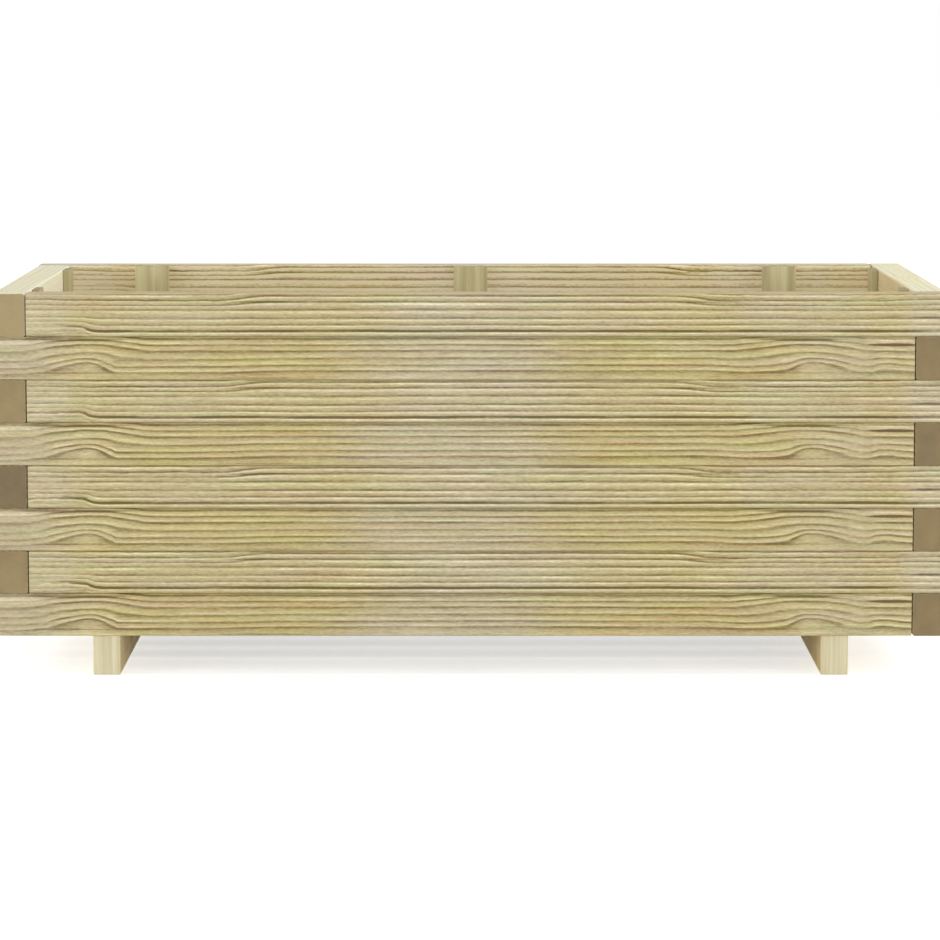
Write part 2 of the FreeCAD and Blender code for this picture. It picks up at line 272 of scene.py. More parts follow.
# Each bend: its strength along the board in millimetres from the planter's middle, its strength up the board, how
# many millimetres it lifts the rings, and how uneven that is.
STRAIGHT_BENDS = [
    # At one end the lowest rings step up.
    ([(-500, 0.75), (-470, 0.9), (-425, 1), (-408, 0.9), (-398, 0.4), (-390, 0.08), (-380, 0), (500, 0)],
     [(0, 0.7), (6, 0.9), (12, 1), (16, 0.7), (21, 0.25), (26, 0), (45, 0)], 5.6, 3.0),
    # The upper rings dip beyond the middle.
    ([(-500, 0.7), (-450, 0.8), (-380, 1), (-272, 1), (-205, 0), (205, 0), (270, 1), (420, 1), (460, 0.8),
      (500, 0.7)],
     [(0, 0), (26, 0), (33, 0.76), (38.5, 1), (45, 1.2)], -5.0, 2.5),
]
FLAT_BENDS = [
    # The lens: a narrow bow of the lower rings, a broad one of the upper rings, and the lowest rings dip beside it.
    ([(-500, 0), (-452, 0), (-441, 0.2), (-431, 0.42), (-415, 0.76), (-405, 0.96), (-400, 1), (-395, 0.95),
      (-388, 0.72), (-383, 0.52), (-375, 0.24), (-366, 0), (280, 0), (300, 0.04), (324, 0.2), (341, 0.62),
      (350, 0.94), (355, 1), (371, 0.8), (388, 0.45), (403, 0.12), (412, 0.02), (420, 0.12), (428, 0.28),
      (434, 0.3), (445, 0.22), (463, 0.1), (500, 0)],
     [(0, 0), (4, 0.25), (7.5, 0.5), (12, 0.9), (15, 1.05), (17.8, 1), (22.2, 0.52), (28.6, 0.1), (33, 0), (45, 0)],
     11.0, 1.0),
    ([(-500, -0.1), (-470, -0.05), (-455, 0.1), (-446, 0.33), (-431, 0.68), (-415, 0.85), (-399, 1), (-389, 1),
      (-378, 0.86), (-363, 0.54), (-347, 0.2), (-326, -0.05), (-150, 0), (240, -0.02), (262, -0.05), (283, 0.12),
      (314, 0.6), (337, 0.96), (350, 1), (380, 0.77), (405, 0.25), (415, 0.02), (426, 0), (463, -0.05), (500, -0.1)],
     [(0, 0), (17.8, 0), (22.2, 0.5), (28.6, 0.82), (37, 1), (42, 0.83), (45, 0.8)], 6.3, 0.6),
    ([(-500, 2.1), (-476, 2), (-455, 1.4), (-440, 1), (-410, 1), (-270, 0.8), (-158, 0), (230, 0), (300, 0.9),
      (400, 0.9), (450, 1), (500, 1.1)],
     [(0, 0.3), (4, 0.8), (7.5, 1), (13, 1), (20, 0.95), (28, 0.45), (33, 0.1), (38, 0), (45, 0)], -2.1, 0.0),
]
# Noise is given by the length, height and depth of its spots in millimetres.
RIPPLE = (16, 5, 5)                                   # makes the bends uneven
WAVES = (((170, 45, 45), 2.2), ((40, 14, 14), 0.8))   # lift the rings by up to so many millimetres
TILT = 0.45                                           # the rings also climb into the board


def along_stops(points):
    """Points along the board in millimetres as the stops of a curve."""
    return [(share_of(place, -PLANK_HALF, PLANK_HALF), value) for place, value in points]


def plank_noise(tree, place, plank, spans, detail=1, shift=0):
    """Noise with spots of this length, height and depth in millimetres, different in every plank."""
    scale = [1 / span for span in spans]
    spot = add_node(tree, "VectorMath", {0: place, 1: scale, 2: [shift] * 3}, operation="MULTIPLY_ADD")
    inputs = {"Vector": spot, "W": plank, "Scale": 1, "Detail": detail}
    return add_node(tree, "TexNoise", inputs, noise_dimensions="4D")


def pine_rings(tree, rings, shape, bends):
    """Where each point of a board lies in its plank, and the tone of the growth rings there.

    Returns the tone, the place in millimetres, the plank's number and the share of the way along the board.
    """
    grain = add_node(tree, "Attribute", out="Vector", attribute_name="grain")
    plank = add_node(tree, "Attribute", out="Fac", attribute_name="plank")
    place = add_node(tree, "VectorMath", {0: grain, "Scale": 1 / MM}, operation="SCALE")
    parts = tree.nodes.new("ShaderNodeSeparateXYZ")
    tree.links.new(place, parts.inputs[0])
    along, up, deep = parts.outputs
    height = up
    along = add_node(tree, "MapRange", {"Value": along, "From Min": -PLANK_HALF, "From Max": PLANK_HALF})
    share = add_node(tree, "Math", {0: up, 1: 1 / BOARD_HIGH}, operation="MULTIPLY")
    ripple = plank_noise(tree, place, plank, RIPPLE)
    ripple = add_node(tree, "Math", {0: ripple, 1: 0.5}, operation="SUBTRACT")
    for along_points, up_points, lift, uneven in bends:
        run = add_node(tree, "FloatCurve", {"Value": along}, stops=along_stops(along_points))
        rise = add_node(tree, "FloatCurve", {"Value": share}, stops=[(x / BOARD_HIGH, y) for x, y in up_points])
        amount = add_node(tree, "Math", {0: ripple, 1: uneven, 2: lift}, operation="MULTIPLY_ADD")
        bend = add_node(tree, "Math", {0: run, 1: rise}, operation="MULTIPLY")
        bend = add_node(tree, "Math", {0: bend, 1: amount}, operation="MULTIPLY")
        height = add_node(tree, "Math", {0: height, 1: bend}, operation="SUBTRACT")
    for spans, reach in WAVES:
        wave = plank_noise(tree, place, plank, spans)
        wave = add_node(tree, "Math", {0: wave, 1: 0.5}, operation="SUBTRACT")
        height = add_node(tree, "Math", {0: wave, 1: reach, 2: height}, operation="MULTIPLY_ADD")
    height = add_node(tree, "Math", {0: deep, 1: TILT, 2: height}, operation="MULTIPLY_ADD")
    height = add_node(tree, "Math", {0: height, 1: RING_LOW}, operation="SUBTRACT")
    height = add_node(tree, "Math", {0: height, 1: RING_HIGH - RING_LOW}, operation="PINGPONG")
    share = add_node(tree, "Math", {0: height, 1: 1 / (RING_HIGH - RING_LOW)}, operation="MULTIPLY")
    tone = add_node(tree, "FloatCurve", {"Value": share}, stops=ring_tones(rings, shape))
    return tone, place, plank, along


print("bends: straight", len(STRAIGHT_BENDS), "flat", len(FLAT_BENDS))

# %% [markdown]
# ## Marks and bleached stretches
# Along a real board the lines grow stronger and weaker, some stretches have bleached in the light, and here and there
# a line is stained or a strip is pale. Such things have a place, which noise has not, so they are listed too: marks
# as soft ellipses, and the strength and bleaching as curves along the board.

# %% Marks and bleached stretches
# Marks in the wood: middle along and up the board, half its length and height, how much paler and how much redder.
STRAIGHT_MARKS = [
    ((-372, 6.2), (26, 1.6), -0.25, 0), ((-222, 36.6), (38, 1.5), -0.25, 0), ((252, 36.6), (38, 1.5), -0.25, 0),
    ((410, 6.3), (36, 1.7), -0.3, 0), ((480, 6), (24, 1.6), 0.2, 0), ((478, 14), (34, 5), 0.09, 0.6),
    ((482, 20.3), (24, 1.3), -0.3, 0), ((-415, 7), (24, 1), -0.14, 0), ((-412, 3.6), (24, 0.9), -0.14, 0),
    ((-455, 11.8), (46, 1.8), 0.24, 0), ((-345, 42), (55, 1.7), 0.16, 0.7), ((345, 42), (55, 1.7), 0.16, 0.7),
    ((-345, 38.2), (50, 1.2), -0.16, 0), ((345, 38.2), (50, 1.2), -0.16, 0), ((-460, 24), (50, 20), 0.04, 0),
    ((-20, 34), (60, 5), 0.06, 0.4)]
FLAT_MARKS = [
    ((442, 37), (28, 1.9), -0.7, 1.6), ((442, 42), (34, 2.2), 0.34, 0.5), ((-410, 42.4), (62, 1.9), -0.5, 0),
    ((345, 42.6), (52, 1.9), -0.55, 0), ((-215, 2), (60, 1.2), -0.22, 0.4), ((-480, 38), (40, 5), 0.16, 0.3),
    ((-490, 12), (16, 10), 0, 1.0), ((404, 22), (10, 14), 0.05, 0.3), ((-60, 8), (70, 5), 0.08, 0.4),
    ((-418, 7.2), (48, 1.1), -0.24, 0), ((345, 7.4), (40, 1.1), -0.15, 0)]
# How strongly the rings show along the board.
STRAIGHT_STRENGTH = [(-500, 0.54), (-420, 0.58), (-390, 0.76), (-367, 0.82), (-330, 0.7), (-270, 0.74), (-218, 0.94),
                     (250, 0.94), (309, 0.82), (346, 0.7), (380, 0.62), (415, 0.78), (447, 0.72), (500, 0.76)]
FLAT_STRENGTH = [(-500, 0.5), (-455, 0.45), (-436, 0.75), (-412, 1), (-350, 0.86), (-250, 0.8), (-20, 0.72),
                 (85, 0.8), (250, 0.8), (309, 0.86), (375, 0.85), (395, 0.5), (408, 0.42), (420, 0.7), (445, 0.9),
                 (500, 0.84)]
# How bleached the wood is along the board: 0 is the yellowest.
STRAIGHT_BLEACHED = [(-500, 0.85), (-430, 0.8), (-394, 0.15), (-310, 0.45), (-218, 0.25), (-128, 0.25), (-20, 1),
                     (85, 0.65), (181, 0.2), (255, 0), (309, 0.6), (404, 0.45), (430, 0.1), (464, 0.9), (500, 1)]
FLAT_BLEACHED = [(-500, 0.75), (-476, 0.95), (-436, 0.55), (-394, 0.2), (-330, 0), (-200, 0), (-128, 0.45), (-20, 1),
                 (85, 0.4), (160, 0), (309, 0.05), (404, 0.55), (447, 0.35), (500, 0.5)]
# Each look also has a mean tone, and a saturation for its yellowest wood.
STRAIGHT = {"rings": STRAIGHT_RINGS, "shape": STRAIGHT_SHAPE, "bends": STRAIGHT_BENDS, "marks": STRAIGHT_MARKS,
            "strength": STRAIGHT_STRENGTH, "bleached": STRAIGHT_BLEACHED, "mean": 0.525, "yellow": 1.12}
FLAT = {"rings": FLAT_RINGS, "shape": FLAT_SHAPE, "bends": FLAT_BENDS, "marks": FLAT_MARKS,
        "strength": FLAT_STRENGTH, "bleached": FLAT_BLEACHED, "mean": 0.5, "yellow": 1.17}
print("marks: straight", len(STRAIGHT_MARKS), "flat", len(FLAT_MARKS))

# %% [markdown]
# ## Planed faces
# Planing leaves the wood matt, with fine fibres along the grain. The treatment soaks in unevenly, so some stretches
# are greener and others redder. A picture of wood could be wrapped round each board, but it would repeat and would
# not go round the edges. So the rings, marks and noise above are put together into one tone, a ramp gives the tone
# its colour, and hue and saturation are shifted along the board.

# %% Pine faces
MEAN_TONE = 0.55      # tone about which the lines fade and darken
FADES, FADE_FROM, FADE_TO = (60, 6, 6), (0.3, 0.55), (0.7, 1.25)    # spots of fading lines: noise and strength
QUIET_LINES = 0.15    # how much of its lines a quiet face keeps
BLUSH, BLUSH_RANGE = (120, 5, 5), (-3.3, 3.5)    # redder spots, in steps of red
SOAK, SOAK_SHIFT, SOAK_REACH = (110, 6, 6), 3.1, 0.9    # bleached spots
PAINTED_TINT_RED = 0.6        # painted warm bounce light makes a face so many steps redder
MARK_EDGE = (1.2, 0.4)    # a mark starts and is full at these parts of its half size
STREAKS = (((80, 3, 3), 0.24), ((16, 1.6, 1.6), 0.36), ((5, 1.2, 1.2), 0.5))    # streaks and fibres, and how strong
BUMPS = {"Strength": 0.3, "Distance": 0.3 * MM}
WOOD_IOR = 1.5
FACE_ROUGH = (0.5, 0.68)    # roughness of dark and pale wood
GREY = 0.9            # saturation of the most bleached wood
RED_STEP = 0.012      # a step towards red on the colour wheel
PAINTED_TINT_YELLOW = 0.14      # painted warm bounce light makes a face this much yellower


def pine_faces(name, look):
    """Planed pressure-treated pine, seen along the grain."""
    material, tree = new_material(name)
    tone, place, plank, along = pine_rings(tree, look["rings"], look["shape"], look["bends"])
    # Late-wood lines fade and darken along the board.
    fade = plank_noise(tree, place, plank, FADES)
    fade = add_node(tree, "MapRange", {"Value": fade, "From Min": FADE_FROM[0], "From Max": FADE_TO[0],
                                       "To Min": FADE_FROM[1], "To Max": FADE_TO[1]})
    strength = add_node(tree, "FloatCurve", {"Value": along}, stops=along_stops(look["strength"]))
    fade = add_node(tree, "Math", {0: fade, 1: strength}, operation="MULTIPLY")
    # A quiet face has faint lines, and one below zero has strong ones. A shade makes a face paler: painted light.
    quiet = add_node(tree, "Attribute", out="Fac", attribute_name="quiet")
    loud = add_node(tree, "MapRange", {"Value": quiet, "To Min": 1, "To Max": QUIET_LINES}, clamp=False)
    fade = add_node(tree, "Math", {0: fade, 1: loud}, operation="MULTIPLY")
    shade = add_node(tree, "Attribute", out="Fac", attribute_name="shade")
    base = add_node(tree, "Math", {0: shade, 1: look["mean"]}, operation="ADD")
    tone = add_node(tree, "Math", {0: tone, 1: MEAN_TONE}, operation="SUBTRACT")
    tone = add_node(tree, "Math", {0: tone, 1: fade, 2: base}, operation="MULTIPLY_ADD")
    # A painted light tint makes a face redder where it stands for warm bounce light, and less red where it stands for
    # a sheen. Some stretches of every board are redder too.
    warm = add_node(tree, "Attribute", out="Fac", attribute_name="warm")
    red = plank_noise(tree, place, plank, BLUSH)
    red = add_node(tree, "MapRange", {"Value": red, "To Min": BLUSH_RANGE[0], "To Max": BLUSH_RANGE[1]})
    red = add_node(tree, "Math", {0: warm, 1: PAINTED_TINT_RED, 2: red}, operation="MULTIPLY_ADD")
    for middle, half, paler, redder in look["marks"]:
        spot = add_node(tree, "VectorMath", {0: place, 1: (*middle, 0)}, operation="SUBTRACT")
        scale = (1 / half[0], 1 / half[1], 1 / BOARD_THICK)
        spot = add_node(tree, "VectorMath", {0: spot, 1: scale}, operation="MULTIPLY")
        away = add_node(tree, "VectorMath", {0: spot}, "Value", operation="LENGTH")
        mark = add_node(tree, "MapRange", {"Value": away, "From Min": MARK_EDGE[0], "From Max": MARK_EDGE[1]},
                        interpolation_type="SMOOTHSTEP")
        mark = add_node(tree, "Math", {0: mark, 1: loud}, operation="MULTIPLY")
        tone = add_node(tree, "Math", {0: mark, 1: paler, 2: tone}, operation="MULTIPLY_ADD")
        red = add_node(tree, "Math", {0: mark, 1: redder, 2: red}, operation="MULTIPLY_ADD")
    # Streaks and fibres lie over them.
    for spans, reach in STREAKS:
        streak = plank_noise(tree, place, plank, spans, detail=2)
        streak = add_node(tree, "Math", {0: streak, 1: 0.5}, operation="SUBTRACT")
        streak = add_node(tree, "Math", {0: streak, 1: loud}, operation="MULTIPLY")
        tone = add_node(tree, "Math", {0: streak, 1: reach, 2: tone}, operation="MULTIPLY_ADD")
    colour = add_node(tree, "ValToRGB", {0: tone}, stops=[
        (0.0, "64562f"), (0.25, "8c7d56"), (0.5, "b3a67e"), (0.65, "c4b78d"), (0.85, "d9cfa8"), (1.0, "efe7c9")])
    # Bleached stretches are greyer, and the treatment soaks in unevenly.
    bleach = add_node(tree, "FloatCurve", {"Value": along}, stops=along_stops(look["bleached"]))
    patch = plank_noise(tree, place, plank, SOAK, shift=SOAK_SHIFT)
    patch = add_node(tree, "MapRange", {"Value": patch, "To Min": -SOAK_REACH, "To Max": SOAK_REACH})
    bleach = add_node(tree, "Math", {0: bleach, 1: patch}, operation="ADD")
    full = add_node(tree, "MapRange", {"Value": bleach, "To Min": look["yellow"], "To Max": GREY}, clamp=False)
    # A painted light tint also makes a face more saturated for warm bounce light and greyer for a sheen.
    full = add_node(tree, "Math", {0: warm, 1: PAINTED_TINT_YELLOW, 2: full}, operation="MULTIPLY_ADD")
    hue = add_node(tree, "Math", {0: red, 1: -RED_STEP, 2: 0.5}, operation="MULTIPLY_ADD")
    colour = add_node(tree, "HueSaturation", {"Hue": hue, "Saturation": full, "Color": colour})
    rough = add_node(tree, "MapRange", {"Value": tone, "To Min": FACE_ROUGH[0], "To Max": FACE_ROUGH[1]})
    bump = add_node(tree, "Bump", {"Height": tone, **BUMPS})
    wood = add_node(tree, "BsdfPrincipled",
                    {"Base Color": colour, "Roughness": rough, "IOR": WOOD_IOR, "Normal": bump})
    add_node(tree, "OutputMaterial", {"Surface": wood})
    return material


straight_pine = pine_faces("treated pine, straight grain", STRAIGHT)
flat_pine = pine_faces("treated pine, flat sawn", FLAT)
print("materials:", straight_pine.name, "and", flat_pine.name)

# %% [markdown]
# ## Sawn ends
# Across the grain the wood is a bundle of open tubes, which drink up more of the treatment. So the ends are browner
# and duller than the faces, with soft clouds and fine pores, and every end has its own tone. The same rings could be
# drawn strongly, as on a fresh cut, but on treated wood they hardly show.

# %% End grain
CLOUDS, CLOUD_REACH = (30, 26, 18), 0.3    # size in millimetres, and how much they change the tone
PORES, PORE_REACH = (1, 1, 1), 0.12
PORE_BUMPS = {"Strength": 0.25, "Distance": 0.3 * MM}
END_RINGS = 0.05    # how strongly the rings show
END_ROUGH = 0.8


def end_grain():
    """Sawn ends: darker, browner and duller than the faces."""
    material, tree = new_material("treated pine, end grain")
    tone, place, plank, _ = pine_rings(tree, STRAIGHT_RINGS, STRAIGHT_SHAPE, [])
    cloud = plank_noise(tree, place, plank, CLOUDS)
    pores = plank_noise(tree, place, plank, PORES, detail=2)
    each = add_node(tree, "Attribute", out="Fac", attribute_name="end")
    shade = add_node(tree, "MapRange", {"Value": cloud, "To Min": -CLOUD_REACH, "To Max": CLOUD_REACH})
    shade = add_node(tree, "Math", {0: shade, 1: each}, operation="ADD")
    shade = add_node(tree, "Math", {0: tone, 1: END_RINGS, 2: shade}, operation="MULTIPLY_ADD")
    shade = add_node(tree, "Math", {0: pores, 1: PORE_REACH, 2: shade}, operation="MULTIPLY_ADD")
    colour = add_node(tree, "ValToRGB", {0: shade}, stops=[(0.08, "6f6047"), (0.58, "8b7853"), (1.0, "a3916a")])
    bump = add_node(tree, "Bump", {"Height": pores, **PORE_BUMPS})
    wood = add_node(tree, "BsdfPrincipled",
                    {"Base Color": colour, "Roughness": END_ROUGH, "IOR": WOOD_IOR, "Normal": bump})
    add_node(tree, "OutputMaterial", {"Surface": wood})
    return material


sawn_end = end_grain()
print("material:", sawn_end.name)

# %% [markdown]
# ## The boards
# A board leaves the planer with rounded long edges, and the saw leaves its ends square with the sharpness
# just taken off. A board is modelled from a box: the long edges are bevelled round, then the edges of the
# ends get a small bevel. The two lowest and the two highest boards of a side wall are screwed to the long
# walls, so a drill sinks a round hole for the screw's head near one end: a Boolean takes a cylinder away.
# Each kind of board is made once, and every board of the planter is a copy, moved to the box of its solid.

# %% One planed bar
EASED = 0.6           # bevel at the ends in millimetres
EDGE_SEGMENTS, END_SEGMENTS = 4, 2
SINK_ROUND, SINK_DEEP, SINK_SIDES = 5.1, 4.2, 32
SINK_SLACK = 1.02     # faces within this many radii belong to a hole
END_FACING = 0.9      # the part of its normal along the grain that makes a face a sawn end
SMOOTH_BELOW = math.radians(50)


def pick(*pieces):
    """Select these pieces and no others. The first one becomes the active one."""
    bpy.ops.object.select_all(action="DESELECT")
    for piece in pieces:
        piece.select_set(True)
    bpy.context.view_layer.objects.active = pieces[0]


def select_edges(piece, wanted):
    """Go into edit mode with only those edges selected whose two ends pass a test."""
    bpy.ops.object.mode_set(mode="OBJECT")
    bpy.context.tool_settings.mesh_select_mode = (False, True, False)
    mesh = piece.data
    for items in (mesh.vertices, mesh.edges, mesh.polygons):
        items.foreach_set("select", [False] * len(items))
    for edge in mesh.edges:
        start, end = (mesh.vertices[i].co for i in edge.vertices)
        edge.select = wanted(start, end)
    bpy.ops.object.mode_set(mode="EDIT")


def sink_hole(bar, along, face):
    """Sink a round hole for a screw's head into the face at this Y."""
    bpy.ops.object.select_all(action="DESELECT")
    bpy.ops.mesh.primitive_cylinder_add(vertices=SINK_SIDES, radius=SINK_ROUND * MM, depth=2 * SINK_DEEP * MM,
                                        location=(along, face, 0), rotation=(math.pi / 2, 0, 0))
    drill = bpy.context.object
    bpy.context.view_layer.objects.active = bar
    hole = bar.modifiers.new("hole", "BOOLEAN")
    hole.object = drill
    bpy.ops.object.modifier_apply(modifier="hole")
    bpy.data.objects.remove(drill)


def planed_bar(name, size, rounding, finishes, holes=()):
    """A bar along X in millimetres, its middle at the origin. Holes for screw heads lie in its face towards -Y."""
    long, thick, high = (side * MM for side in size)
    bpy.ops.object.select_all(action="DESELECT")
    bpy.ops.mesh.primitive_cube_add(size=1, scale=(long, thick, high))
    bar = bpy.context.object
    bar.name = name
    bpy.ops.object.transform_apply(location=False, rotation=False, scale=True)
    select_edges(bar, lambda a, b: abs(a.x - b.x) > long / 2)
    bpy.ops.mesh.bevel(offset=rounding * MM, segments=EDGE_SEGMENTS, affect="EDGES")
    select_edges(bar, lambda a, b: min(abs(a.x), abs(b.x)) > long / 2 - EASED * MM and a.x * b.x > 0)
    bpy.ops.mesh.bevel(offset=EASED * MM, segments=END_SEGMENTS, affect="EDGES")
    bpy.ops.object.mode_set(mode="OBJECT")
    for along in holes:
        sink_hole(bar, along, -thick / 2)
    pick(bar)
    bpy.ops.object.shade_smooth_by_angle(angle=SMOOTH_BELOW)
    bar.modifiers.new("true_faces", "WEIGHTED_NORMAL").keep_sharp = True
    bpy.ops.object.modifier_apply(modifier="true_faces")
    bar.data.materials.clear()
    for finish in finishes:
        bar.data.materials.append(finish)
    reach = SINK_SLACK * SINK_ROUND * MM
    for face in bar.data.polygons:
        middle = face.center
        in_hole = any((middle.x - along) ** 2 + middle.z ** 2 < reach ** 2 for along in holes)
        sunk = in_hole and middle.y > -thick / 2 + EASED * MM
        face.material_index = int(abs(face.normal.x) > END_FACING or sunk)
    return bar


def side_of(node, axis):
    """How far a solid reaches along an axis, in millimetres."""
    low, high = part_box(node)
    return (high[axis] - low[axis]) / MM


BOARD_ROUND = 2.5
SCREW_ROW = BOARD_THICK / 2    # a screw goes into the middle of the long wall's board
short = side_of("left_board_1", 1)
hole_at = (short / 2 - SCREW_ROW) * MM
finishes = (straight_pine, sawn_end)
long_size = (side_of("front_board_1", 0), BOARD_THICK, BOARD_HIGH)
short_size = (short, BOARD_THICK, BOARD_HIGH)
long_board = planed_bar("long_board", long_size, BOARD_ROUND, finishes)
short_board = planed_bar("short_board", short_size, BOARD_ROUND, finishes)
screwed_boards = [planed_bar("screwed_board", short_size, BOARD_ROUND, finishes, [place])
                  for place in (hole_at, -hole_at)]
for board in (long_board, short_board, screwed_boards[0]):
    print(board.name, "has", len(board.data.polygons), "faces")

# %% [markdown]
# ## Copies in their places
# No two boards of a real planter are cut from the same stretch of wood. Each copy stores where it lies in its own
# plank, so the grain goes round its edges and on through its ends. The copies could share one mesh, but then they
# would share the grain as well. Some boards also get faint lines or painted light of their own: clear wood at the top
# of the side walls, and painted light that makes inner faces and tops paler, warmer at the back and greyer where it
# stands for a sheen.

# %% Copies in their places
def place_copy(pattern, node, turn):
    """Copy a bar to the middle of a solid's box, turned by these degrees, and let it stand for the solid."""
    pick(pattern)
    bpy.ops.object.duplicate()
    bar = bpy.context.object
    bar.name = f"planed_{node}"
    low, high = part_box(node)
    bar.rotation_euler = [math.radians(angle) for angle in turn]
    bar.location = (low + high) / 2
    bpy.ops.object.transform_apply(location=True, rotation=True, scale=True)
    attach(bar, "root")
    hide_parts(node)
    return bar


TOP_SHARE = 0.99    # points above this share of a board's height lie on its top


def give_grain(bar, pattern, shift, plank, outer=0, shade=(0, 0), quiet=0, warm=(0, 0), end=0.5):
    """Store each point's place along, up and into its plank in metres, the plank's own number, how quiet its lines
    are and the light painted on it.

    Shade and tint are painted light: they say how much paler the inner side and the top are painted, and how much
    warmer, for bounce light, or greyer, for a sheen. A quiet plank loses its lines there. The inner side lies across
    from the outer one at depth 0 or 1.
    """
    points = np.empty(len(pattern.data.vertices) * 3)
    pattern.data.vertices.foreach_get("co", points)
    points = points.reshape(-1, 3)[:, (0, 2, 1)]
    grain = points - points.min(axis=0) * (0, 1, 1) + (shift, 0, 0)
    up, deep = grain[:, 1] / (BOARD_HIGH * MM), grain[:, 2] / (BOARD_THICK * MM)
    inner = np.abs(deep - outer)
    top = up > TOP_SHARE
    values = {"plank": 0 * up + plank, "end": 0 * up + end, "quiet": quiet * np.maximum(inner, top),
              "warm": np.where(top, warm[1], warm[0] * inner), "shade": np.where(top, shade[1], shade[0] * inner)}
    bar.data.attributes.new("grain", "FLOAT_VECTOR", "POINT").data.foreach_set("vector", grain.ravel())
    for name, numbers in values.items():
        bar.data.attributes.new(name, "FLOAT", "POINT").data.foreach_set("value", numbers)


WALL_TURNS = {"front": 0, "back": 0, "left": -90, "right": 90}
SCREWED_TIERS = (1, 2, 7, 8)
PLANK_STEP = 1.37    # planks this far apart in the patterns have nothing in common
# Which stretch of a plank each side board is cut from, tier by tier, as metres from the plank's middle.
SIDE_SHIFTS = (-0.25, 0.25, 0.22, -0.2, -0.03, 0.1, -0.21, 0.25)
# The uppermost side boards are cut from clear wood, whose lines are faint on the inner face and the top. Shade and
# tint are painted light, given for the inner face and for the top: paler inner faces and tops stand in for more
# light, warmer inner faces at the back and on the right for bounce light, greyer tops and a greyer left inner face
# for a sheen, and a warmer top on the front rim.
QUIET_AND_PAINTED_LIGHT = {
    "left_board_8": {"shade": (0.54, 0.34), "quiet": 1, "warm": (-0.6, -1.6)},
    "right_board_8": {"shade": (0.29, 0.34), "quiet": 0.95, "warm": (1.8, -1.2)},
    "back_board_8": {"shade": (0.41, 0.08), "quiet": -0.5, "warm": (1.7, -1.4)},
    "back": {"shade": (0.32, 0.32), "quiet": -0.5, "warm": (1.7, 0)},
    "front_board_8": {"shade": (0, 0), "warm": (0, 1.5)},
}
# How pale the sawn ends are that show at the front. The other ends take turns.
END_TONES = {"left_board_8": 0.88, "right_board_7": 0.42, "left_board_6": 0.62, "right_board_5": 0.3,
             "left_board_4": 0.12, "right_board_3": 0.44, "left_board_2": 0.58, "right_board_1": 0.36}
OTHER_ENDS = (0.3, 0.4, 0.5, 0.6, 0.7)
TIERS = 8
planks = 0
for wall, turn in WALL_TURNS.items():
    for tier in range(1, TIERS + 1):
        node = f"{wall}_board_{tier}"
        low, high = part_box(node)
        if wall in ("front", "back"):
            pattern, shift = long_board, (low.x + high.x) / 2
        else:
            pattern = screwed_boards[tier % 2] if tier in SCREWED_TIERS else short_board
            shift = SIDE_SHIFTS[tier - 1]
        board = place_copy(pattern, node, (0, 0, turn))
        planks += 1
        finish = QUIET_AND_PAINTED_LIGHT.get(node, QUIET_AND_PAINTED_LIGHT.get(wall, {}))
        end = END_TONES.get(node, OTHER_ENDS[planks % len(OTHER_ENDS)])
        give_grain(board, pattern, shift, planks * PLANK_STEP, outer=int(wall == "back"), end=end, **finish)
        board.material_slots[0].material = flat_pine if tier % 2 else straight_pine
for pattern in (long_board, short_board, *screwed_boards):
    bpy.data.objects.remove(pattern)
print("boards:", planks)

# %% [markdown]
# ## Battens and floor
# The smaller timber is the same pine in quieter pieces: battens cut from clear wood and plain floor slats. Listing
# their rings would be wasted work, because faint streaks are all that shows. The solids have the right shape, so
# they only get a finish. The grain runs along each piece, so its noise is stretched along Z or X.

# %% Quiet pine
STREAK_LONG = 180                       # millimetres
FIBRE, FIBRE_REACH = (1.2, 40), 0.35    # width and length in millimetres, and how strong fibres are
QUIET_STOPS = (0.45, 0.67, 0.9)
QUIET_ROUGH = 0.65


def quiet_pine(name, long_way, colours, streak_wide=5, end=None):
    """Clear pine with faint streaks along one axis, for pieces without strong rings. The sawn ends may be darker."""
    material, tree = new_material(name)
    place = add_node(tree, "TexCoord", out="Object")
    tones = []
    for wide, long, detail in ((streak_wide, STREAK_LONG, 1), (*FIBRE, 2)):
        scale = [1 / (wide * MM)] * 3
        scale[long_way] = 1 / (long * MM)
        spot = add_node(tree, "Mapping", {"Vector": place, "Scale": scale})
        tones.append(add_node(tree, "TexNoise", {"Vector": spot, "Scale": 1, "Detail": detail}))
    tone = add_node(tree, "Math", {0: tones[1], 1: FIBRE_REACH, 2: tones[0]}, operation="MULTIPLY_ADD")
    colour = add_node(tree, "ValToRGB", {0: tone}, stops=list(zip(QUIET_STOPS, colours)))
    if end:
        facing = add_node(tree, "NewGeometry", out="True Normal")
        facing = add_node(tree, "VectorMath", {0: facing}, operation="ABSOLUTE")
        facing = add_node(tree, "SeparateXYZ", {0: facing}, long_way)
        sawn = add_node(tree, "Math", {0: facing, 1: END_FACING}, operation="GREATER_THAN")
        # Among the sockets of a mix node, 6, 7 and output 2 are its colours.
        colour = add_node(tree, "Mix", {0: sawn, 6: colour, 7: linear(end)}, 2,
                          data_type="RGBA", blend_type="MULTIPLY")
    bump = add_node(tree, "Bump", {"Height": tone, **BUMPS})
    wood = add_node(tree, "BsdfPrincipled",
                    {"Base Color": colour, "Roughness": QUIET_ROUGH, "IOR": WOOD_IOR, "Normal": bump})
    add_node(tree, "OutputMaterial", {"Surface": wood})
    return material


def finish_nodes(material, word):
    """Give a finish to every solid whose name has this word in it."""
    for name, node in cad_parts.items():
        if word in name:
            node.data.materials.clear()
            node.data.materials.append(material)


SAWN = "c0b4a0"    # sawn ends are this much darker
finish_nodes(quiet_pine("treated pine, wall battens", 2, ("b9ad80", "d1c597", "e3daad"), 11, SAWN), "batten")
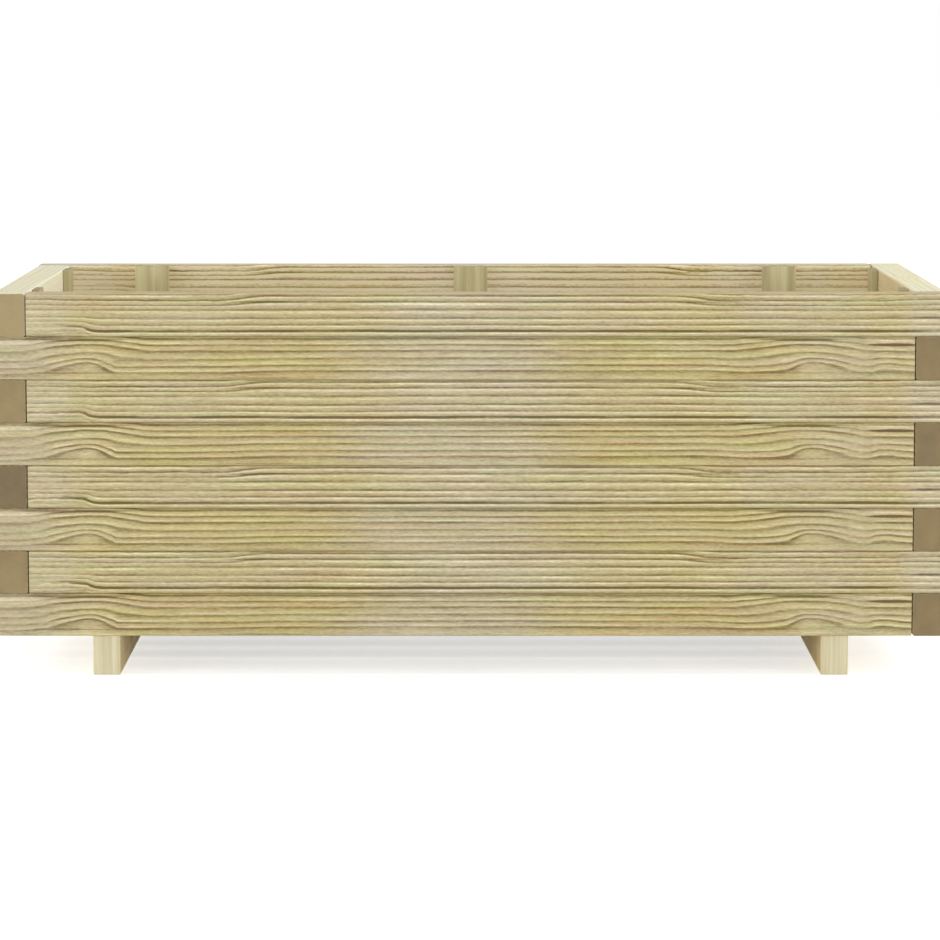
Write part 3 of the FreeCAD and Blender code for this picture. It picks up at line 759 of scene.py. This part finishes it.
# The battens of the side walls are the same pine in darker colours: painted shade that tones down the lamps' light on
# their broad faces.
side_pine_painted_shade = quiet_pine("treated pine, side battens, painted shade", 2, ("ada177", "b6aa80", "c0b58a"), 9, SAWN)
for side in ("left", "right"):
    finish_nodes(side_pine_painted_shade, f"{side}_batten")
finish_nodes(quiet_pine("treated pine, floor slats", 0, ("a39466", "bcac80", "cfc29a"), 5, SAWN), "slat")
print("finished:", [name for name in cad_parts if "batten" in name or "slat" in name])

# %% [markdown]
# ## The runners
# Two pale bars keep the planter off the ground. Their solids could be dressed like the battens, but screws go up
# through them, and the round holes for the screws' heads show from below. So they are modelled as the boards are,
# with their length along Y and their own finish on the sawn ends.

# %% Runners
# The runners' long faces are paler and yellower than their sawn ends: painted bounce light in the shade under the
# planter.
runner_pine_painted_light = quiet_pine("treated pine, runners, painted light", 1, ("ead298", "f0daa8", "f4e2b8"), 6)
runner_end = quiet_pine("treated pine, runner ends", 2, ("cdc29c", "d5cba8", "ded6b7"), 4)
RUNNER_ROUND = 1.0
size = [side_of("left_runner", axis) for axis in (1, 2, 0)]
low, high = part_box("back_board_1")
wall_middle = (low.y + high.y) / 2
pattern = planed_bar("runner", size, RUNNER_ROUND, (runner_pine_painted_light, runner_end), (wall_middle, -wall_middle))
for side in ("left", "right"):
    runner = place_copy(pattern, f"{side}_runner", (90, 0, 90))
bpy.data.objects.remove(pattern)
print("runners:", [round(side) for side in size], "mm")

# %% [markdown]
# ## Zinc-plated steel
# Screws and brads are drawn steel wire with a thin bright coat of zinc. Its fine crystals blur what it mirrors, so
# the finish is a metal with a mottled roughness. One flat grey would look like paint.

# %% Zinc-plated steel
CRYSTAL = 0.8    # size of the mottle in millimetres
ZINC_ROUGH = (0.28, 0.48)


def zinc_steel():
    """A grey metal with a fine mottle."""
    material, tree = new_material("zinc-plated steel")
    place = add_node(tree, "TexCoord", out="Object")
    spot = add_node(tree, "Mapping", {"Vector": place, "Scale": [1 / (CRYSTAL * MM)] * 3})
    mottle = add_node(tree, "TexNoise", {"Vector": spot, "Scale": 1, "Detail": 2})
    colour = add_node(tree, "ValToRGB", {0: mottle}, stops=[(0.3, "b4b6b4"), (0.7, "d2d3cf")])
    rough = add_node(tree, "MapRange", {"Value": mottle, "To Min": ZINC_ROUGH[0], "To Max": ZINC_ROUGH[1]})
    steel = add_node(tree, "BsdfPrincipled", {"Base Color": colour, "Roughness": rough, "Metallic": 1.0})
    add_node(tree, "OutputMaterial", {"Surface": steel})
    return material


zinc = zinc_steel()
finish_nodes(zinc, "brads")
print("material:", zinc.name)

# %% [markdown]
# ## The screws
# Long wood screws with countersunk heads pull the corners together and hold the runners. A screw could be turned
# round in one go, but growing it from its head shows what each part is for: the flat head with its edge, the cone
# that draws it into the wood, the smooth shank, the core and the point. A helix of triangles is the thread, and
# two crossed wedges cut the recess for the driver.

# %% One screw
HEAD_ROUND, SHANK_ROUND, CORE_ROUND, SCREW_SIDES = 5, 2.5, 1.8, 32
# The head's edge, its cone, the smooth shank, the step to the core, the core and the point: length, and how wide the
# end of each is compared with its start.
SCREW_STEPS = ((0.4, 1), (2.6, SHANK_ROUND / HEAD_ROUND), (24, 1), (0.8, CORE_ROUND / SHANK_ROUND), (32, 1),
               (9.2, 0.1))
THREAD_START, THREAD_PITCH, THREAD_TURNS, THREAD_SIDE, THREAD_STEPS = 27, 2.6, 13, 0.6, 14
RECESS_LONG, RECESS_WIDE, RECESS_DEEP, RECESS_TAPER = 5.4, 1.1, 2.2, 0.45
SCREW_SMOOTH = math.radians(35)


def grow(step, wide):
    """Extrude the selected face along the screw and make it this many times as wide."""
    bpy.ops.mesh.extrude_region_move(TRANSFORM_OT_translate={"value": (0, 0, step * MM)})
    bpy.ops.transform.resize(value=(wide, wide, 1))


bpy.ops.object.select_all(action="DESELECT")
bpy.ops.mesh.primitive_circle_add(vertices=SCREW_SIDES, radius=HEAD_ROUND * MM, fill_type="NGON")
screw = bpy.context.object
screw.name = "screw"
bpy.ops.object.mode_set(mode="EDIT")
for step, wide in SCREW_STEPS:
    grow(step, wide)
bpy.ops.mesh.select_all(action="SELECT")
bpy.ops.mesh.normals_make_consistent(inside=False)
bpy.ops.object.mode_set(mode="OBJECT")
for turn in (0, 90):
    bpy.ops.object.select_all(action="DESELECT")
    size = (RECESS_LONG * MM, RECESS_WIDE * MM, 2 * RECESS_DEEP * MM)
    bpy.ops.mesh.primitive_cube_add(size=1, scale=size)
    wedge = bpy.context.object
    bpy.ops.object.transform_apply(location=False, rotation=False, scale=True)
    for corner in wedge.data.vertices:
        if corner.co.z > 0:
            corner.co.x *= RECESS_TAPER
    wedge.rotation_euler.z = math.radians(turn)
    bpy.context.view_layer.objects.active = screw
    screw.modifiers.new("recess", "BOOLEAN").object = wedge
    bpy.ops.object.modifier_apply(modifier="recess")
    bpy.data.objects.remove(wedge)

bpy.ops.object.select_all(action="DESELECT")
bpy.ops.mesh.primitive_circle_add(vertices=3, radius=THREAD_SIDE * MM, rotation=(math.pi / 2, 0, 0))
thread = bpy.context.object
bpy.ops.object.transform_apply(location=False, rotation=True, scale=False)
for corner in thread.data.vertices:
    corner.co = (CORE_ROUND * MM + corner.co.z, 0, THREAD_START * MM + corner.co.x)
helix = thread.modifiers.new("helix", "SCREW")
helix.screw_offset = THREAD_PITCH * MM
helix.iterations = THREAD_TURNS
helix.steps = helix.render_steps = THREAD_STEPS
bpy.ops.object.modifier_apply(modifier="helix")
pick(screw, thread)
bpy.ops.object.join()
bpy.ops.object.shade_smooth_by_angle(angle=SCREW_SMOOTH)
screw.data.materials.append(zinc)
print("screw:", len(screw.data.polygons), "faces,", [round(side / MM, 1) for side in screw.dimensions], "mm")

# %% [markdown]
# ## Screws in their places
# Corner screws go through a side board into the end of a long board, in the two lowest and the two highest tiers.
# Runner screws go up into the bottom boards. The screws of one solid could stay apart, but they are one piece of the
# record, so their copies are joined. No fitter stops every recess at the same angle, so each screw is turned
# differently.

# %% Screws in their places
HEAD_SUNK = 1      # millimetres below the surface
SCREW_TURN = 0.9   # radians from one screw to the next


def drive_screws(node, spots, turn):
    """Copies of the screw with their heads sunk below these places, as one piece that stands for a solid."""
    copies = []
    for index, spot in enumerate(spots):
        pick(screw)
        bpy.ops.object.duplicate()
        one = bpy.context.object
        one.rotation_euler.z = SCREW_TURN * index
        bpy.ops.object.transform_apply(location=False, rotation=True, scale=False)
        one.location = (0, 0, HEAD_SUNK * MM)
        bpy.ops.object.transform_apply(location=True, rotation=False, scale=False)
        one.rotation_euler.y = math.radians(turn)
        one.location = spot
        bpy.ops.object.transform_apply(location=True, rotation=True, scale=False)
        copies.append(one)
    pick(*copies)
    bpy.ops.object.join()
    copies[0].name = f"zinc_{node}"
    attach(copies[0], "root")
    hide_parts(node)


for side, turn in (("left", 90), ("right", -90)):
    spots = []
    for tier in SCREWED_TIERS:
        low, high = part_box(f"{side}_board_{tier}")
        face = low.x if side == "left" else high.x
        front_end = (side == "left") == (tier % 2 == 0)
        row = low.y + SCREW_ROW * MM if front_end else high.y - SCREW_ROW * MM
        spots.append((face, row, (low.z + high.z) / 2))
    drive_screws(f"{side}_corner_screws", spots, turn)
spots = []
for side in ("left", "right"):
    low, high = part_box(f"{side}_runner")
    spots += [((low.x + high.x) / 2, row, low.z) for row in (-wall_middle, wall_middle)]
drive_screws("runner_screws", spots, 0)
bpy.data.objects.remove(screw)
print("screws driven: corners and runners")
